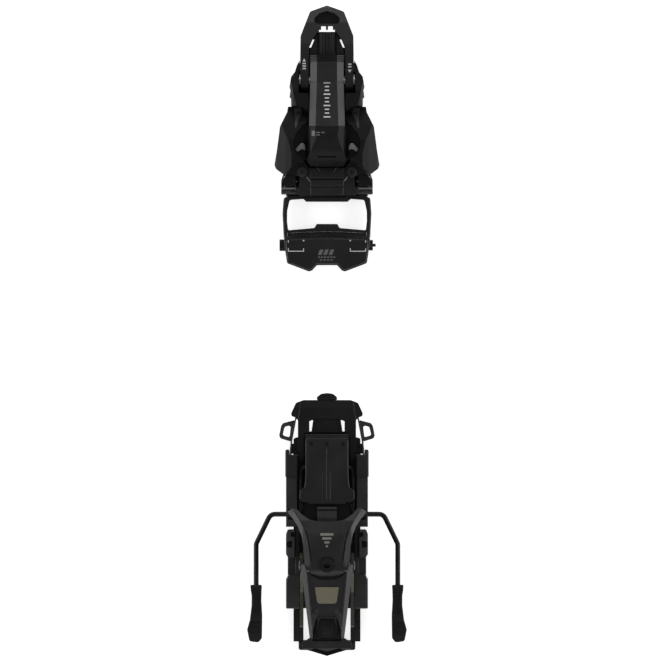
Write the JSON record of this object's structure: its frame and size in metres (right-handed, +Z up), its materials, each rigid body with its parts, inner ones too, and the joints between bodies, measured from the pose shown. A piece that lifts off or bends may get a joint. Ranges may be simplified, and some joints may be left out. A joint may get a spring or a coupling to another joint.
{
  "type": "touring binding",
  "caption": "Two-part ski touring binding: lever toe piece with wings, sliding boot rest, and a sliding heel piece with jaw, brake, climbing aid and release lever.",
  "frame": {"origin": "middle of the binding's length and width, on the ski's top surface", "axes": "+Y towards the ski's tip, +X to the skier's right, +Z up from the ski"},
  "size_m": [0.1262, 0.5133, 0.0713],
  "materials": {
    "black_plastic": "fine moulded grain",
    "gloss_plastic": "smooth moulded",
    "grey_plastic": "satin moulded",
    "glide_plastic": "low-friction",
    "tip_rubber": "matt",
    "bright_steel": "ground",
    "black_steel": "black coated",
    "bracket_steel": "dull plated",
    "dark_aluminium": "dark anodised",
    "bronze": "bronze anodised"
  },
  "bodies": {
    "ski_base": {"toe_baseplate": "black_plastic", "toe_spring_housing": "black_plastic", "toe_barrel_collar": "gloss_plastic", "toe_nose_guard": "black_plastic", "toe_hood": "gloss_plastic", "toe_hood_latch": "gloss_plastic", "toe_side_covers": "black_plastic", "toe_lever_axles": "bright_steel", "toe_lever_washers": "bright_steel", "toe_wing_pins": "bright_steel", "toe_bridge": "black_plastic", "toe_bridge_screws": "black_steel", "pin_arm_axles": "bright_steel", "crampon_bracket": "bracket_steel", "afd_frame": "black_plastic", "afd_base": "black_plastic", "toe_release_spring": "bright_steel", "heel_track": "black_plastic", "length_rack": "black_steel", "track_end_cap": "black_plastic"},
    "toe_lever": {"toe_lever": "black_plastic"},
    "toe_adjuster": {"toe_adjuster_cap": "black_plastic"},
    "toe_piston": {"toe_piston_rod": "bright_steel", "toe_spring_yoke": "bright_steel"},
    "wing_left": {"toe_wing_left": "black_plastic"},
    "wing_right": {"toe_wing_right": "black_plastic"},
    "pin_arm_left": {"pin_arm_left": "dark_aluminium", "tech_pin_left": "black_steel"},
    "pin_arm_right": {"pin_arm_right": "dark_aluminium", "tech_pin_right": "black_steel"},
    "afd_adjuster": {"afd_shaft": "bright_steel", "afd_knob": "black_plastic", "afd_star_nut": "black_steel"},
    "afd_wedge": {"afd_wedge": "black_plastic"},
    "afd_lift": {"afd_carrier": "glide_plastic"},
    "afd_glide": {"afd_plate": "glide_plastic"},
    "carriage": {"heel_carriage": "grey_plastic", "carriage_front_caps": "black_plastic", "heel_side_covers": "black_plastic", "heel_chassis": "bronze", "jaw_axle": "bright_steel", "side_loops": "black_steel", "climbing_aid_pins": "bright_steel", "brake_springs": "black_steel"},
    "length_screw": {"length_screw": "bright_steel"},
    "jaw": {"heel_jaw": "black_plastic", "jaw_trim": "grey_plastic", "heel_treadle": "black_plastic", "heel_lever_pins": "bright_steel", "jaw_release_spring": "bright_steel"},
    "jaw_adjuster": {"jaw_adjuster": "gloss_plastic"},
    "jaw_plunger": {"jaw_plunger": "bright_steel"},
    "heel_lever": {"heel_lever": "black_plastic", "heel_lever_badge": "bronze"},
    "brake": {"brake_arms": "black_steel", "brake_tips": "tip_rubber"},
    "brake_pedal": {"brake_pedal": "black_plastic", "brake_pedal_screws": "black_steel"},
    "climbing_aid": {"climbing_aid": "black_plastic", "climbing_aid_tab": "tip_rubber"}
  },
  "joints": [
    {"name": "toe_lever_swing", "type": "hinge", "parent": "ski_base", "child": "toe_lever", "pos_m": [0, 0.1965, 0.024], "axis": [1, 0, 0], "range_deg": [0, 70]},
    {"name": "toe_adjuster_turn", "type": "hinge", "parent": "ski_base", "child": "toe_adjuster", "pos_m": [0, 0.2173, 0.026], "axis": [0, 1, 0], "range_deg": [-720, 720]},
    {"name": "toe_piston_slide", "type": "slide", "parent": "ski_base", "child": "toe_piston", "axis": [0, -1, 0], "range_m": [0, 0.0035], "stiffness_N_per_m": 3000, "deforming": ["toe_release_spring"]},
    {"name": "wing_left_open", "type": "hinge", "parent": "ski_base", "child": "wing_left", "pos_m": [-0.0221, 0.1681, 0.02], "axis": [0, 0, -1], "range_deg": [0, 22]},
    {"name": "wing_right_open", "type": "hinge", "parent": "ski_base", "child": "wing_right", "pos_m": [0.0221, 0.1681, 0.02], "axis": [0, 0, 1], "range_deg": [0, 22]},
    {"name": "pin_arm_left_swing", "type": "hinge", "parent": "ski_base", "child": "pin_arm_left", "pos_m": [-0.0328, 0.117, 0.007], "axis": [0, -1, 0], "range_deg": [0, 18.5]},
    {"name": "pin_arm_right_swing", "type": "hinge", "parent": "ski_base", "child": "pin_arm_right", "pos_m": [0.0328, 0.117, 0.007], "axis": [0, 1, 0], "range_deg": [0, 18.5]},
    {"name": "afd_lift_slide", "type": "slide", "parent": "ski_base", "child": "afd_lift", "axis": [0, 0, 1], "range_m": [0, 0.005]},
    {"name": "afd_knob_turn", "type": "hinge", "parent": "ski_base", "child": "afd_adjuster", "pos_m": [0, 0.067, 0.0052], "axis": [1, 0, 0], "range_deg": [0, 1801]},
    {"name": "afd_wedge_slide", "type": "slide", "parent": "ski_base", "child": "afd_wedge", "axis": [-1, 0, 0], "range_m": [0, 0.01376]},
    {"name": "afd_plate_glide", "type": "slide", "parent": "afd_lift", "child": "afd_glide", "axis": [1, 0, 0], "range_m": [-0.005, 0.005]},
    {"name": "carriage_slide", "type": "slide", "parent": "ski_base", "child": "carriage", "axis": [0, 1, 0], "range_m": [-0.011, 0.015]},
    {"name": "length_screw_turn", "type": "hinge", "parent": "carriage", "child": "length_screw", "pos_m": [0, -0.2, 0.0094], "axis": [0, 1, 0], "range_deg": [-1325, 1805]},
    {"name": "jaw_open", "type": "hinge", "parent": "carriage", "child": "jaw", "pos_m": [0, -0.186, 0.028], "axis": [1, 0, 0], "range_deg": [0, 28]},
    {"name": "jaw_plunger_slide", "type": "slide", "parent": "jaw", "child": "jaw_plunger", "axis": [0, 0.2961, -0.9552], "range_m": [0, 0.0031]},
    {"name": "jaw_adjuster_turn", "type": "hinge", "parent": "jaw", "child": "jaw_adjuster", "pos_m": [0, -0.186, 0.072], "axis": [0, -0.2961, 0.9552], "range_deg": [-720, 720]},
    {"name": "heel_lever_swing", "type": "hinge", "parent": "jaw", "child": "heel_lever", "pos_m": [0, -0.188, 0.061], "axis": [1, 0, 0], "range_deg": [0, 5.1]},
    {"name": "brake_swing", "type": "hinge", "parent": "carriage", "child": "brake", "pos_m": [0, -0.1459, 0.019], "axis": [1, 0, 0], "range_deg": [0, 36]},
    {"name": "brake_pedal_tilt", "type": "hinge", "parent": "brake", "child": "brake_pedal", "pos_m": [0, -0.1092, 0.019], "axis": [1, 0, 0], "range_deg": [-18.1, 0]},
    {"name": "climbing_aid_flip", "type": "hinge", "parent": "carriage", "child": "climbing_aid", "pos_m": [0, -0.1005, 0.015], "axis": [-1, 0, 0], "range_deg": [-100, 0]}
  ],
  "couplings": [
    {"joint": "wing_left_open", "follows": "toe_piston_slide", "rad_per_m": 109.6},
    {"joint": "wing_right_open", "follows": "toe_piston_slide", "rad_per_m": 109.6},
    {"joint": "pin_arm_left_swing", "follows": "toe_lever_swing", "ratio": 0.26},
    {"joint": "pin_arm_right_swing", "follows": "toe_lever_swing", "ratio": 0.26},
    {"joint": "afd_knob_turn", "follows": "afd_lift_slide", "rad_per_m": 6283.2},
    {"joint": "afd_wedge_slide", "follows": "afd_lift_slide", "ratio": 2.75},
    {"joint": "length_screw_turn", "follows": "carriage_slide", "rad_per_m": 2094.4},
    {"joint": "jaw_plunger_slide", "follows": "jaw_open", "m_per_rad": 0.006139},
    {"joint": "heel_lever_swing", "follows": "jaw_open", "ratio": 0.17857},
    {"joint": "brake_pedal_tilt", "follows": "brake_swing", "ratio": -0.5}
  ]
}
